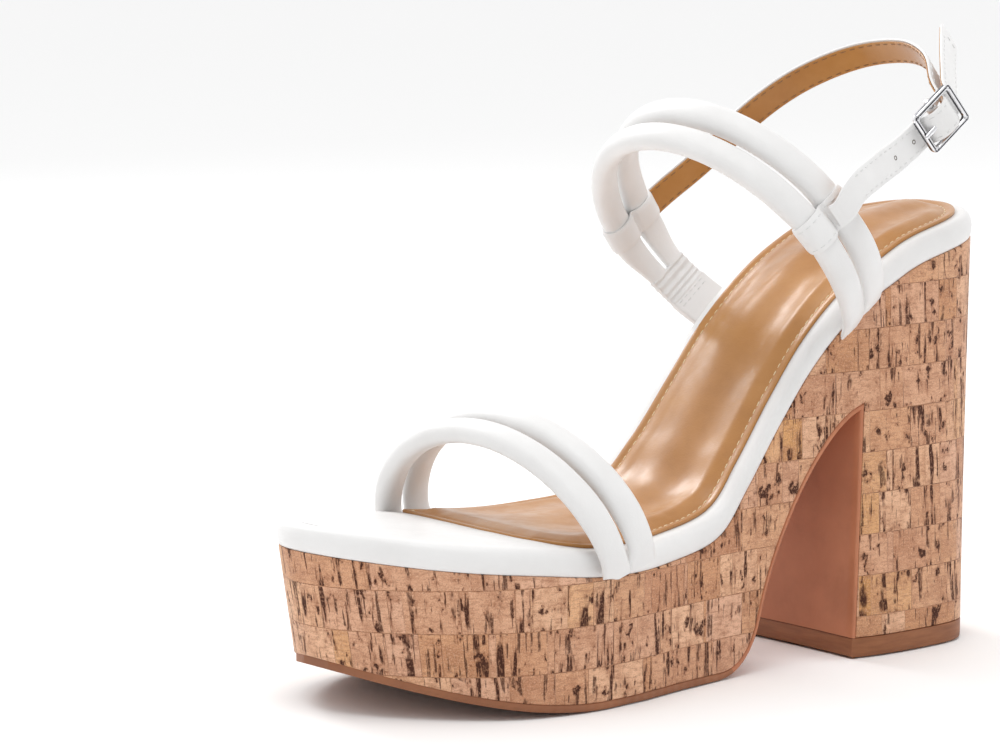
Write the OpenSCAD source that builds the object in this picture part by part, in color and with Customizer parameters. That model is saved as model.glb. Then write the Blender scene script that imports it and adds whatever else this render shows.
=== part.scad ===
// Left wedge sandal: a cork-wrapped platform and block heel in one unit, a leather-covered footbed,
// two pairs of padded tube straps, and a buckled ankle strap.
// Frame: toe towards -Y, outer (lateral) side towards +X, up is +Z. The origin is on the floor, on the
// flat part of the outsole under the middle of the sole. Everything is in millimetres.

/* [Sole] */
// Length of the sole, toe to heel
sole_length = 220; // [215:0.5:225]
// Thickness of the cork sheet
cork_t = 1.2; // [0.8:0.1:1.6]
// Thickness of the outsole sheet
outsole_t = 2; // [1.5:0.1:2.5]
// Thickness of the heel's top piece
lift_t = 5.5; // [4:0.5:7]
// Lift of the toe end above the floor
toe_spring = 13.6; // [10:0.2:15]

/* [Footbed] */
// Thickness of the insole board
board_t = 2; // [1.5:0.1:2.5]
// Thickness of the footbed foam
foam_t = 4; // [3:0.1:5]
// Thickness of the white cover on top of the foam
cover_t = 1; // [0.8:0.1:1.4]
// Thickness of the tan sock lining
sock_t = 1.2; // [0.8:0.1:1.6]
// Width of the white cover's side wall
rim_w = 3; // [2.5:0.1:4]

/* [Straps] */
// Half the width of one padded tube
tube_a = 4.6; // [4:0.1:4.7]
// Half the thickness of one padded tube
tube_b = 3.2; // [2.5:0.1:3.6]
// Thickness of the tube's leather
skin_t = 1; // [0.7:0.1:1.2]
// Width of the ankle strap
ankle_w = 8.4; // [8:0.1:9]
// Thickness of the ankle strap's outer leather
ankle_t = 1.2; // [1:0.1:1.3]
// Thickness of the ankle strap's lining
lining_t = 0.8; // [0.6:0.1:0.9]
// Wall of the two keepers
keeper_t = 1.3; // [1:0.1:1.4]

/* [Buckle] */
// Outer length of the buckle frame along the strap
buckle_l = 15.4; // [15:0.1:16.5]
// Width of the frame's wire
wire_w = 1.6; // [1.4:0.1:1.8]
// Radius of the centre bar
bar_r = 0.75; // [0.7:0.05:0.8]
// Running clearance of the prong and the chape on the bar, on the radius
bar_play = 0.05; // [0.02:0.01:0.08]

/* [Hidden] */
$fn = 48;

// ---------- curves and lofts ----------
function unit(v) = v / norm(v);
function smooth(t) = let (u = min(1, max(0, t))) u * u * (3 - 2 * u);
// One point of a Catmull-Rom stretch from b to c.
function crom(a, b, c, d, t) =
    0.5 * (2 * b + (c - a) * t + (2 * a - 5 * b + 4 * c - d) * t * t + (3 * b - a - 3 * c + d) * t * t * t);
function closed_curve(p, n) =
    let (m = len(p))
    [for (i = [0:m - 1]) for (k = [0:n - 1])
        crom(p[(i + m - 1) % m], p[i], p[(i + 1) % m], p[(i + 2) % m], k / n)];
function open_curve(p, n) =
    let (m = len(p))
    concat(
        [for (i = [0:m - 2]) for (k = [0:n - 1])
            crom(p[max(i - 1, 0)], p[i], p[i + 1], p[min(i + 2, m - 1)], k / n)],
        [p[m - 1]]
    );
function bezier(a, b, c, d, n) =
    [for (k = [0:n]) let (t = k / n, s = 1 - t)
        s * s * s * a + 3 * s * s * t * b + 3 * s * t * t * c + t * t * t * d];
function reversed(p) = [for (i = [len(p) - 1:-1:0]) p[i]];
// A closed, counter-clockwise outline moved inwards by d.
function inset(p, d) =
    let (m = len(p))
    [for (i = [0:m - 1]) let (t = unit(p[(i + 1) % m] - p[(i + m - 1) % m])) p[i] + d * [-t[1], t[0]]];
// An open curve moved to its left by d.
function to_left(p, d) =
    let (m = len(p))
    [for (i = [0:m - 1]) let (t = unit(p[min(i + 1, m - 1)] - p[max(i - 1, 0)])) p[i] + d * [-t[1], t[0]]];

// Skins a list of rings, all with the same number of points, into one closed solid.
module skin_rings(rings) {
    n = len(rings);
    m = len(rings[0]);
    sides = [for (i = [0:n - 2]) for (j = [0:m - 1]) let (k = (j + 1) % m)
        each [[i * m + j, (i + 1) * m + j, i * m + k], [i * m + k, (i + 1) * m + j, (i + 1) * m + k]]];
    first_cap = [for (j = [1:m - 2]) [0, j, j + 1]];
    last_cap = [for (j = [1:m - 2]) [(n - 1) * m, (n - 1) * m + j + 1, (n - 1) * m + j]];
    polyhedron([for (r = rings) each r], concat(sides, first_cap, last_cap));
}

// ---------- the sole's outline and side profile ----------
half = sole_length / 2;
// Plan outline at the footbed, counter-clockwise from the back of the heel.
OUTLINE_POINTS = [
    [2, half], [-7.5, half - 1.5], [-16, half - 8], [-21.5, half - 20], [-23, 68], [-21.4, 42], [-23.2, 12],
    [-32, -18], [-39, -50], [-37.6, -74], [-30.5, -94], [-19.5, -half + 4.5], [-6, -half - 0.5],
    [9, -half + 3.5], [24, -94], [36, -76], [41, -56], [40, -36], [34, -10], [30, 15],
    [29.5, 41], [30, 66], [28, 87], [22.5, 100], [12.5, half - 2]
];
OUTLINE = closed_curve(OUTLINE_POINTS, 3);
// Height of the cork's top edge along the shoe.
TOP_POINTS = [
    [-half - 6, 42.8], [-half, 41.9], [-88, 38.7], [-66, 36.5], [-44, 34.2], [-22, 34.4], [0, 38.2],
    [12, 50], [24.2, 66], [36, 80.5], [49.6, 92.5], [64, 100.8], [79.3, 106.7], [half, 112], [half + 6, 112.5]
];
TOP = open_curve(TOP_POINTS, 4);
function top_z(y) = lookup(y, TOP);
heel_h = 112;
// Towards the floor the heel's back leans in, its sides flare out and the toe leans in.
heel_lean = 6.6;
heel_flare = 0.11;
toe_lean = 5;
toe_wall = 29;
toe_top = 42;
function wall_point(p, z) = [
    p[0] * (1 + heel_flare * smooth((p[1] - 30) / 30) * (1 - z / heel_h)),
    p[1] - heel_lean * smooth((p[1] - 85) / 25) * (1 - z / heel_h)
        + toe_lean * smooth((-60 - p[1]) / 50) * max(0, toe_top - z) / toe_wall,
    z
];
// Solid inside the walls, moved inwards by d.
module wall_prism(d) {
    ring = inset(OUTLINE, d);
    skin_rings([for (z = [-4, toe_top, 128]) [for (p = ring) wall_point(p, z)]]);
}
// A side profile, given as [y, z] points, as a slab across the shoe.
module side_slab(points, w = 110) {
    translate([-w / 2, 0, 0]) rotate([90, 0, 90]) linear_extrude(w) polygon(points);
}
// The layer between two heights above the cork's top edge.
module footbed_layer(z0, z1) {
    side_slab(concat([for (p = TOP) [p[0], p[1] + z0]], reversed([for (p = TOP) [p[0], p[1] + z1]])));
}

// Bottom of the platform from the toe, up the arch to the apex of the gap in front of the heel.
roll_y = -45;
ARCH_FOOT = [17.5, 15.5];
APEX = [51.8, 67.5];
BREAST_FOOT = [48.4, 0];
function roll_z(y) = toe_spring * pow((y - roll_y) / (half + roll_y), 2);
ARCH = concat(
    [for (y = [-half - 6:8:roll_y]) [y, roll_z(y)]],
    [[roll_y, 0], [-20, 0]],
    bezier([1, 0], [9, 0], ARCH_FOOT - [2.5, 10], ARCH_FOOT, 5),
    [for (p = bezier(ARCH_FOOT, ARCH_FOOT + [4.5, 17.5], APEX + [-13, -5], APEX, 11)) if (p != ARCH_FOOT) p]
);
ARCH_IN = to_left(ARCH, outsole_t);
APEX_IN = APEX + outsole_t * [1.08, 1.5];
breast_lean = (APEX[0] - BREAST_FOOT[0]) / APEX[1];
BREAST_TOP_IN = APEX + [outsole_t, 0];
BREAST_IN = [BREAST_FOOT[0] + breast_lean * lift_t + outsole_t, lift_t];
split_y = APEX_IN[0];
PLATFORM = concat([for (p = TOP) if (p[0] < split_y) p], [[split_y, top_z(split_y)], APEX_IN], reversed(ARCH_IN));
HEEL = concat(
    [[split_y, top_z(split_y)]], [for (p = TOP) if (p[0] > split_y) p],
    [[half + 6, lift_t], BREAST_IN, BREAST_TOP_IN, APEX_IN]
);
// The two together.
BODY = concat(TOP, [[half + 6, lift_t], BREAST_IN, BREAST_TOP_IN, APEX_IN], reversed(ARCH_IN));

// ---------- footbed heights ----------
foam_z = board_t;
cover_z = board_t + foam_t;
sock_z = cover_z + cover_t;

// ---------- fasteners inside the heel seat ----------
SCREW = [0, 92];
screw_r = 2.2;
screw_head_r = 4;
screw_l = 30;
NAILS = [[-16, 68], [16, 68], [-13, 96], [13, 96]];
nail_r = 0.9;
nail_head_r = 2;
nail_l = 15;
head_t = 1;
RIVETS = [[0, 2], [0, 76]];
rivet_r = 2;
shank_w = 12;
shank_t = 1.6;
SHANK_ENDS = [-14, 84];
PINS = [[2, 97], [23, 62], [-16, 62]];
pin_r = 1.5;
pin_l = 10;
wall_t = 6;

module seat_fastener(p, r, l, head_r) {
    translate([p[0], p[1], top_z(p[1]) - l]) cylinder(h = l + board_t, r = r);
    translate([p[0], p[1], top_z(p[1]) + board_t]) cylinder(h = head_t, r = head_r);
}
module all_nails() {
    for (p = NAILS) seat_fastener(p, nail_r, nail_l, nail_head_r);
}
module screw_solid() {
    seat_fastener(SCREW, screw_r, screw_l, screw_head_r);
}
module all_rivets() {
    for (p = RIVETS)
        translate([p[0], p[1], top_z(p[1]) - shank_t - 0.4]) cylinder(h = shank_t + board_t + 0.4, r = rivet_r);
}
module all_pins() {
    for (p = PINS)
        translate([p[0], p[1], lift_t / 2]) cylinder(h = lift_t / 2 + pin_l, r = pin_r);
}
module shank_solid() {
    low = [for (p = TOP) if (p[0] > SHANK_ENDS[0] && p[0] < SHANK_ENDS[1]) p];
    side_slab(concat([for (p = low) [p[0], p[1] - shank_t]], reversed(low)), shank_w);
}

// ---------- sole pieces ----------
module platform_core() {
    color("wheat")
    difference() {
        intersection() {
            wall_prism(cork_t);
            side_slab(PLATFORM);
        }
        shank_solid();
        all_rivets();
    }
}

module heel_block() {
    cavity = [[60, 0], [half, 0], [half, 88], [62, 76]];
    color("wheat")
    difference() {
        intersection() {
            wall_prism(cork_t);
            side_slab(HEEL);
        }
        difference() {
            intersection() {
                wall_prism(cork_t + wall_t);
                side_slab(cavity);
            }
            translate([SCREW[0], SCREW[1], 50]) cylinder(h = 60, r = 6);
        }
        shank_solid();
        screw_solid();
        all_nails();
        all_rivets();
        all_pins();
    }
}

module cork_wrap() {
    color("burlywood")
    difference() {
        intersection() {
            wall_prism(0);
            side_slab(BODY);
        }
        wall_prism(cork_t);
    }
}

module outsole() {
    color("sienna")
    intersection() {
        wall_prism(0);
        side_slab(concat(
            ARCH, [BREAST_FOOT + [breast_lean * lift_t, lift_t]],
            [BREAST_IN, BREAST_TOP_IN, APEX_IN], reversed(ARCH_IN)
        ));
    }
}

module heel_lift() {
    color("peru")
    difference() {
        intersection() {
            wall_prism(0);
            side_slab([BREAST_FOOT, [half, 0], [half, lift_t], BREAST_FOOT + [breast_lean * lift_t, lift_t]]);
        }
        all_pins();
    }
}

module lift_pins() {
    color("silver") all_pins();
}

// ---------- footbed pieces ----------
module insole_board() {
    color("tan")
    difference() {
        intersection() {
            wall_prism(rim_w);
            footbed_layer(0, board_t);
        }
        screw_solid();
        all_nails();
        all_rivets();
    }
}

module steel_shank() {
    color("slategray")
    difference() {
        shank_solid();
        all_rivets();
    }
}

module shank_rivets() {
    color("silver") all_rivets();
}

module heel_screw() {
    color("silver") screw_solid();
}

module heel_nails() {
    color("silver") all_nails();
}

module footbed_padding() {
    color("ivory")
    difference() {
        intersection() {
            wall_prism(rim_w);
            footbed_layer(foam_z, cover_z);
        }
        screw_solid();
        all_nails();
        all_rivets();
    }
}

module rim_cover() {
    color("white")
    difference() {
        intersection() {
            wall_prism(0);
            footbed_layer(0, sock_z);
        }
        intersection() {
            wall_prism(rim_w);
            footbed_layer(-1, cover_z);
        }
    }
}

// Distance from the sole's outline to the edge of the sock lining.
sock_inset = 4.4;
// The lining ends across the ball of the foot, with its inner corner drawn out to a point.
SOCK_FRONT = [
    [60, -46], [37, -49], [32, -55], [22, -59], [4, -58.5], [-13, -56.5], [-25, -55], [-32, -52.5], [-60, -50]
];
module sock_lining() {
    color("peru")
    intersection() {
        wall_prism(sock_inset);
        footbed_layer(sock_z, sock_z + sock_t);
        linear_extrude(140) polygon(concat(SOCK_FRONT, [[-60, 120], [60, 120]]));
    }
}

// ---------- arched straps ----------
// An arch is [centre x, base y, base z, lean towards the toe, half width, rise, turn about Z,
// first angle (outer side), last angle (inner side), narrowing towards the last angle, extra height
// at the very top].
VAMP = [1.2, -43.5, 35.8, 15, 43.5, 30.1, 4.3, 96, -97, 0, 1.9];
INSTEP = [1, 48.4, 93.2, 36.9, 39.6, 40.1, 4.8, 128.4, -112.5, 0.26, 0];
// The instep arch carries on as the elastic band and its tab.
gore_start = -112.9;
gore_end = -124;
tab_start = -124.4;
tab_end = -137;
// Distance of each tube's centre from the middle of the pair.
tube_off = 4.95;

function arch_up(a) = [0, -sin(a[3]), cos(a[3])];
function arch_side(a) = [cos(a[6]), sin(a[6]), 0];
function arch_across(a) = unit(cross(arch_up(a), arch_side(a)));
function arch_base(a) = -a[5] * cos(a[7]);
function arch_point(a, t) =
    [a[0], a[1], a[2]] + a[4] * sin(t) * arch_side(a)
        + (arch_base(a) + a[5] * cos(t) + a[10] * pow(max(cos(t), 0), 3)) * arch_up(a);
function arch_out(a, t) =
    unit((a[5] + 3 * a[10] * pow(max(cos(t), 0), 2)) * sin(t) * arch_side(a) + a[4] * cos(t) * arch_up(a));
// Rounded section with half width w and half thickness h.
function section(centre, across, out, w, h, squareness = 0.8, m = 12) =
    [for (k = [0:m - 1]) let (u = -360 / m * (k + 0.5), c = cos(u), s = sin(u))
        centre + across * w * sign(c) * pow(abs(c), squareness)
            + out * h * sign(s) * pow(abs(s), squareness)];
// Half thickness of a tube: full over the foot and flat where it tucks under the rim.
// Width of the pair of tubes at an angle, as a share of its full width.
function narrowing(a, t) = 1 - a[9] * smooth((a[8] + 20 - t) / 20);
function tube_h(a, t, h) =
    let (edge = min(a[7] - t, t - a[8])) h * (0.5 + 0.5 * smooth(edge / 36));
module arch_tube(a, off, shrink, cut) {
    rings = 26;
    t0 = a[7] - cut;
    t1 = a[8] + cut;
    skin_rings([for (i = [0:rings]) let (t = t0 + (t1 - t0) * i / rings)
        section(
            arch_point(a, t) + off * narrowing(a, t) * arch_across(a), arch_across(a), arch_out(a, t),
            tube_a * narrowing(a, t) - shrink, tube_h(a, t, tube_b) - shrink
        )]);
}
// The filler runs the tube's whole length, so the cover is a sleeve, open at both ends.
module tube_bore(a, off) {
    arch_tube(a, off, skin_t, -3);
}
module tube_cover(a, off) {
    difference() {
        arch_tube(a, off, 0, 0);
        tube_bore(a, off);
    }
}
module tube_filler(a, off) {
    intersection() {
        arch_tube(a, off, 0, 0);
        tube_bore(a, off);
    }
}
// A flat band that follows an arch, h thick, with its middle on the arch.
module arch_band(a, t0, t1, w, h) {
    rings = 5;
    skin_rings([for (i = [0:rings]) let (t = t0 + (t1 - t0) * i / rings)
        section(arch_point(a, t), arch_across(a), arch_out(a, t), w, h, 0.4)]);
}

module vamp_strap_front() {
    color("white") tube_cover(VAMP, -tube_off);
}
module vamp_filler_front() {
    color("ivory") tube_filler(VAMP, -tube_off);
}
module vamp_strap_rear() {
    color("white") tube_cover(VAMP, tube_off);
}
module vamp_filler_rear() {
    color("ivory") tube_filler(VAMP, tube_off);
}
module instep_strap_front() {
    color("white") tube_cover(INSTEP, -tube_off);
}
module instep_filler_front() {
    color("ivory") tube_filler(INSTEP, -tube_off);
}
module instep_strap_rear() {
    color("white") tube_cover(INSTEP, tube_off);
}
module instep_filler_rear() {
    color("ivory") tube_filler(INSTEP, tube_off);
}

// A keeper is a leather sleeve round both instep tubes.
keeper_gap = 0.35;
pair_w = tube_off + tube_a;
band_w = pair_w * (1 - INSTEP[9]);
module keeper(t, span) {
    inner_h = tube_h(INSTEP, t, tube_b) + keeper_gap;
    difference() {
        arch_band(INSTEP, t + span, t - span, pair_w + keeper_gap + keeper_t, inner_h + keeper_t);
        arch_band(INSTEP, t + span + 1, t - span - 1, pair_w + keeper_gap, inner_h);
    }
}
LATERAL_KEEPER = 75;
MEDIAL_KEEPER = -87;
module lateral_keeper() {
    color("white") keeper(LATERAL_KEEPER, 6);
}
module medial_keeper() {
    color("white") keeper(MEDIAL_KEEPER, 5.5);
}
module elastic_gore() {
    color("whitesmoke") arch_band(INSTEP, gore_start, gore_end, band_w - 0.3, 1.2);
}
module gore_tab() {
    color("white") arch_band(INSTEP, tab_start, tab_end, band_w, 1.3);
}

// ---------- ankle strap ----------
// The strap pivots beside the keepers, about the line through the two keepers' middles.
// The loop's own up direction, square to the plane that the strap lies in.
LOOP_UP = [0, -0.6, 0.8];
SLING_ROUTE = [
    [-45.8, 31, 112.3], [-45.5, 40.5, 118], [-43.4, 45.5, 122.2], [-38.4, 52.7, 129.1], [-33.5, 60, 137.3],
    [-28.8, 66.8, 144.8], [-23.2, 75.5, 152], [-15.4, 83, 157.3], [-6, 88, 160.6], [6.9, 89.3, 161.8],
    [17, 86.2, 160.6], [25, 82.4, 158]
];
BILLET_ROUTE = [[44.8, 32, 124], [44.2, 36.2, 129.4], [41, 45.4, 132.9], [37.2, 56.4, 136.3]];

function path_tangent(p, i) = unit(p[min(i + 1, len(p) - 1)] - p[max(i - 1, 0)]);
// A flat strap along a route: from z0 to z1 outside the route, w wide.
module strap_along(route, up, w, z0, z1) {
    skin_rings([for (i = [0:len(route) - 1])
        let (t = path_tangent(route, i), out = unit(cross(t, up)), side = unit(cross(out, t)))
        [for (c = [[-1, z0], [1, z0], [1, z1], [-1, z1]]) route[i] + side * c[0] * w / 2 + out * c[1]]]);
}

// The buckle's own frame: x along the strap away from the lateral keeper, y across it, z outwards.
BUCKLE = [40.2, 71.3, 146.2];
buckle_slope = 39;
buckle_turn = 85;
window_gap = 0.7;
buckle_in_w = ankle_w + 2 * window_gap;
buckle_w = buckle_in_w + 2 * wire_w;
frame_t = 1.6;
bar_z = -1.2;
loop_t = 0.9;
bar_bore = bar_r + bar_play;
eye_r = 1.5;
slot_w = 2.6;
module in_buckle_frame() {
    translate(BUCKLE) rotate([90, -buckle_slope, buckle_turn]) children();
}
function rot_x90(v) = [v[0], -v[2], v[1]];
function rot_y(v, a) = [v[0] * cos(a) + v[2] * sin(a), v[1], -v[0] * sin(a) + v[2] * cos(a)];
function rot_z(v, a) = [v[0] * cos(a) - v[1] * sin(a), v[0] * sin(a) + v[1] * cos(a), v[2]];
function from_buckle(v) = BUCKLE + rot_z(rot_y(rot_x90(v), -buckle_slope), buckle_turn);

// The billet dips under the frame's near bar, over the centre bar and under its far bar; the free end
// stands up behind it. These places are in the buckle's own frame.
strap_t = ankle_t + lining_t;
under_z = -frame_t / 2 - 0.85 - strap_t;
over_z = bar_z + bar_bore + loop_t + 0.3;
THREADED = [
    [-9.5, 0, under_z], [-7, 0, under_z], [-5, 0, under_z + 0.5], [-2.5, 0, over_z - 0.5], [0, 0, over_z],
    [2.5, 0, over_z - 0.5], [5, 0, under_z + 0.5], [7, 0, under_z]
];
TAIL_ROUTE = [[34.6, 78.3, 152.1], [28.9, 83.4, 155.5], [20.5, 91.2, 160.1], [11.5, 99.9, 165.3]];
// The billet's own up direction, across the buckle.
BILLET_UP = rot_z(rot_y(rot_x90([0, 1, 0]), -buckle_slope), buckle_turn);
BILLET = concat(BILLET_ROUTE, [for (p = THREADED) from_buckle(p)], TAIL_ROUTE);
// Two spare holes, as [along, across] in the buckle's frame.
HOLES = [[-9.8, 0.2], [-19.5, 2]];
hole_r = 0.9;

module billet_layer(z0, z1) {
    difference() {
        strap_along(BILLET, BILLET_UP, ankle_w, z0, z1);
        in_buckle_frame() translate([-5.6, -slot_w / 2, -6]) cube([9.6, slot_w, 12]);
        in_buckle_frame() for (p = HOLES) translate([p[0], p[1], -12]) cylinder(h = 24, r = hole_r);
    }
}
module billet_strap() {
    color("white") billet_layer(lining_t, strap_t);
}
module billet_lining() {
    color("peru")
    difference() {
        billet_layer(0, lining_t);
        billet_layer(lining_t, strap_t);
    }
}

sling_end = [from_buckle([9, 1.2, -10.4]), from_buckle([6.5, 0, -6.3])];
SLING = concat(reversed(sling_end), reversed(SLING_ROUTE));
module sling_strap() {
    color("white") strap_along(SLING, LOOP_UP, ankle_w, 0, ankle_t);
}
module sling_lining() {
    color("peru")
    difference() {
        strap_along(SLING, LOOP_UP, ankle_w, -lining_t, 0);
        strap_along(SLING, LOOP_UP, ankle_w, 0, ankle_t);
    }
}

module rounded_rect(l, w, r) {
    square([l - 2 * r, w], center = true);
    square([l, w - 2 * r], center = true);
    for (x = [-1, 1], y = [-1, 1]) translate([x * (l / 2 - r), y * (w / 2 - r)]) circle(r = r);
}
module across_bar(r, w) {
    translate([0, -w / 2, bar_z]) rotate([-90, 0, 0]) cylinder(h = w, r = r);
}
// The chape is folded round the centre bar, in two loops with room for the prong between them.
module buckle_chape() {
    tongue = [
        [-0.4, -2.8], [0.6, -2.1], [2.4, -2.9], [4.2, -4.15], [6.3, -4.3], [6.3, -5.2], [3.6, -5.2], [1.2, -3.7]
    ];
    color("white")
    in_buckle_frame()
    difference() {
        union() {
            across_bar(bar_bore + loop_t, ankle_w);
            translate([0, ankle_w / 2, 0]) rotate([90, 0, 0]) linear_extrude(ankle_w) polygon(tongue);
        }
        across_bar(bar_bore, ankle_w + 2);
        translate([-4, -slot_w / 2, -7]) cube([6.6, slot_w, 9]);
    }
}
module buckle_frame() {
    window_l = buckle_l - 2 * wire_w;
    color("silver")
    in_buckle_frame() {
        translate([0, 0, -frame_t / 2])
        linear_extrude(frame_t)
        difference() {
            rounded_rect(buckle_l, buckle_w, 2);
            rounded_rect(window_l, buckle_in_w, 0.8);
        }
        across_bar(bar_r, buckle_in_w + wire_w);
        for (y = [-1, 1])
            translate([0, y * (buckle_in_w + wire_w) / 2, bar_z / 2])
                cube([2 * bar_r, wire_w, -bar_z + 2 * bar_r], center = true);
    }
}
module buckle_prong() {
    blade = [
        [-0.9, -2.2], [-1.7, -1.2], [-3.6, 0.2], [-5.2, 0.9], [-7.9, 0.9], [-8.3, 1.3], [-7.9, 1.9],
        [-5, 2.1], [-3, 1.5], [-0.9, 0]
    ];
    blade_w = 1.8;
    color("silver")
    in_buckle_frame()
    difference() {
        union() {
            across_bar(eye_r, blade_w);
            translate([0, blade_w / 2, 0]) rotate([90, 0, 0]) linear_extrude(blade_w) polygon(blade);
        }
        across_bar(bar_bore, blade_w + 2);
    }
}

platform_core();
heel_block();
cork_wrap();
outsole();
heel_lift();
lift_pins();
insole_board();
steel_shank();
shank_rivets();
heel_screw();
heel_nails();
footbed_padding();
rim_cover();
sock_lining();
vamp_strap_front();
vamp_filler_front();
vamp_strap_rear();
vamp_filler_rear();
instep_strap_front();
instep_filler_front();
instep_strap_rear();
instep_filler_rear();
lateral_keeper();
medial_keeper();
elastic_gore();
gore_tab();
sling_strap();
sling_lining();
billet_strap();
billet_lining();
buckle_chape();
buckle_frame();
buckle_prong();
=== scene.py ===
import math
import random

import bmesh
import bpy
import numpy as np
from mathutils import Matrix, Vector


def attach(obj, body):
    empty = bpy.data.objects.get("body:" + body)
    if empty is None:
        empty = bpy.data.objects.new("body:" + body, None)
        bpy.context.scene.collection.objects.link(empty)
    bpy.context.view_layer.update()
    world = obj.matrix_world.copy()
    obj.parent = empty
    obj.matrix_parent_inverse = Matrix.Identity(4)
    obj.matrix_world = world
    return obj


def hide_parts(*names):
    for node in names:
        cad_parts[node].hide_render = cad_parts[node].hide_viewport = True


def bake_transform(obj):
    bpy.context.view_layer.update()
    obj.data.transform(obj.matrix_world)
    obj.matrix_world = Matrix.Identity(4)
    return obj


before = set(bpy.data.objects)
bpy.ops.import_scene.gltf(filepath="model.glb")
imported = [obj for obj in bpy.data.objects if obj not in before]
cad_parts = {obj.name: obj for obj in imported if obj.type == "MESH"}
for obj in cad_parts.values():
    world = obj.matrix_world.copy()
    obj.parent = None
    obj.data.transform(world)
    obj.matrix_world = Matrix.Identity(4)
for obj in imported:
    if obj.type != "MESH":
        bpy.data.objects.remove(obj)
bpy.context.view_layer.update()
MM = 0.001

# ---------- camera, light and floor ----------
CAMERA_AT = (0.8971, -0.7559, 0.2373)
CAMERA_LOOK = (-0.778, 0.614, -0.1346)
LENS_MM, SENSOR_MM = 158.98, 36
AIMED_AT = (0, 0, 0.06)
BACKDROP, FRONT_FILL = 1.1, 0.62
PAPER_GREY = 0.97


def add_camera():
    data = bpy.data.cameras.new("camera")
    data.sensor_width = SENSOR_MM
    data.lens = LENS_MM
    data.clip_start = 0.05
    data.clip_end = 20
    camera = bpy.data.objects.new("camera", data)
    camera.location = CAMERA_AT
    camera.rotation_euler = Vector(CAMERA_LOOK).to_track_quat("-Z", "Y").to_euler()
    bpy.context.scene.collection.objects.link(camera)
    bpy.context.scene.camera = camera


def add_area(name, place, size, power):
    data = bpy.data.lights.new(name, "AREA")
    data.shape = "DISK"
    data.size = size
    data.energy = power
    lamp = bpy.data.objects.new(name, data)
    lamp.location = place
    lamp.rotation_euler = (Vector(AIMED_AT) - Vector(place)).to_track_quat("-Z", "Y").to_euler()
    bpy.context.scene.collection.objects.link(lamp)


def add_world(backdrop, front):
    """White studio light: brightest behind the shoe and softer on the camera's side."""
    world = bpy.data.worlds.new("studio")
    world.use_nodes = True
    tree = world.node_tree
    back = tree.nodes["Background"]
    back.inputs["Color"].default_value = (1, 1, 1, 1)
    where = tree.nodes.new("ShaderNodeTexCoord")
    dot = tree.nodes.new("ShaderNodeVectorMath")
    dot.operation = "DOT_PRODUCT"
    dot.inputs[1].default_value = (0.785, -0.62, 0.0)
    spread = tree.nodes.new("ShaderNodeMapRange")
    spread.inputs["From Min"].default_value = -0.2
    spread.inputs["From Max"].default_value = 0.8
    spread.inputs["To Min"].default_value = backdrop
    spread.inputs["To Max"].default_value = front
    tree.links.new(where.outputs["Generated"], dot.inputs[0])
    tree.links.new(dot.outputs["Value"], spread.inputs["Value"])
    tree.links.new(spread.outputs["Result"], back.inputs["Strength"])
    bpy.context.scene.world = world


# ---------- small maths ----------
def unit(v):
    v = np.asarray(v, float)
    return v / np.maximum(np.linalg.norm(v, axis=-1, keepdims=True), 1e-12)


def smooth(t):
    u = np.clip(t, 0, 1)
    return u * u * (3 - 2 * u)


def catmull(a, b, c, d, t):
    return 0.5 * (2 * b + (c - a) * t + (2 * a - 5 * b + 4 * c - d) * t * t + (3 * b - a - 3 * c + d) * t ** 3)


def closed_curve(points, n):
    p = np.array(points, float)
    m = len(p)
    return np.array([catmull(p[i - 1], p[i], p[(i + 1) % m], p[(i + 2) % m], k / n)
                     for i in range(m) for k in range(n)])


def open_curve(points, n):
    p = np.array(points, float)
    m = len(p)
    out = [catmull(p[max(i - 1, 0)], p[i], p[i + 1], p[min(i + 2, m - 1)], k / n)
           for i in range(m - 1) for k in range(n)]
    return np.array(out + [p[-1]])


def bezier(a, b, c, d, n):
    t = np.linspace(0, 1, n + 1)[:, None]
    s = 1 - t
    a, b, c, d = (np.array(v, float) for v in (a, b, c, d))
    return s ** 3 * a + 3 * s * s * t * b + 3 * s * t * t * c + t ** 3 * d


def resample(line, count):
    """The line again, with count points an equal distance apart."""
    p = np.array(line, float)
    s = lengths(p)
    return at(np.linspace(0, s[-1], count), s, p)


def relaxed(line, rounds):
    """The line with its bends evened out and its ends kept."""
    p = np.array(line, float)
    for _ in range(rounds):
        p[1:-1] = 0.25 * p[:-2] + 0.5 * p[1:-1] + 0.25 * p[2:]
    return p


def ring_normal(ring):
    """Inward unit normals of a closed counter-clockwise ring in plan."""
    t = unit(np.roll(ring, -1, axis=0) - np.roll(ring, 1, axis=0))
    return np.column_stack([-t[:, 1], t[:, 0]])


def lengths(line):
    """How far along the line each of its points is."""
    return np.concatenate([[0], np.cumsum(np.linalg.norm(np.diff(line, axis=0), axis=1))])


def at(distance, s, values):
    """The rows of values, known at the distances s, read at other distances."""
    return np.stack([np.interp(distance, s, values[:, k]) for k in range(values.shape[1])], axis=-1)


def circle(count):
    return np.arange(count) * 2 * math.pi / count


def superellipse(count, power_x, power_y):
    """Points of a rounded box that reaches from -1 to 1 both ways."""
    u = 2 * math.pi * (np.arange(count) + 0.5) / count
    c, q = np.cos(u), np.sin(u)
    return np.sign(c) * np.abs(c) ** power_x, np.sign(q) * np.abs(q) ** power_y


def line_tangent(line):
    return unit(np.gradient(np.asarray(line, float), axis=0))


def wobble(x, seed):
    """A smooth, repeatable wavy number from about -1 to 1."""
    rng = random.Random(seed)
    total = 0
    for k in range(4):
        total = total + np.sin(x * (0.7 + 1.9 * k + rng.random()) + rng.random() * 6.28) / (1 + k)
    return total / 1.8


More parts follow.
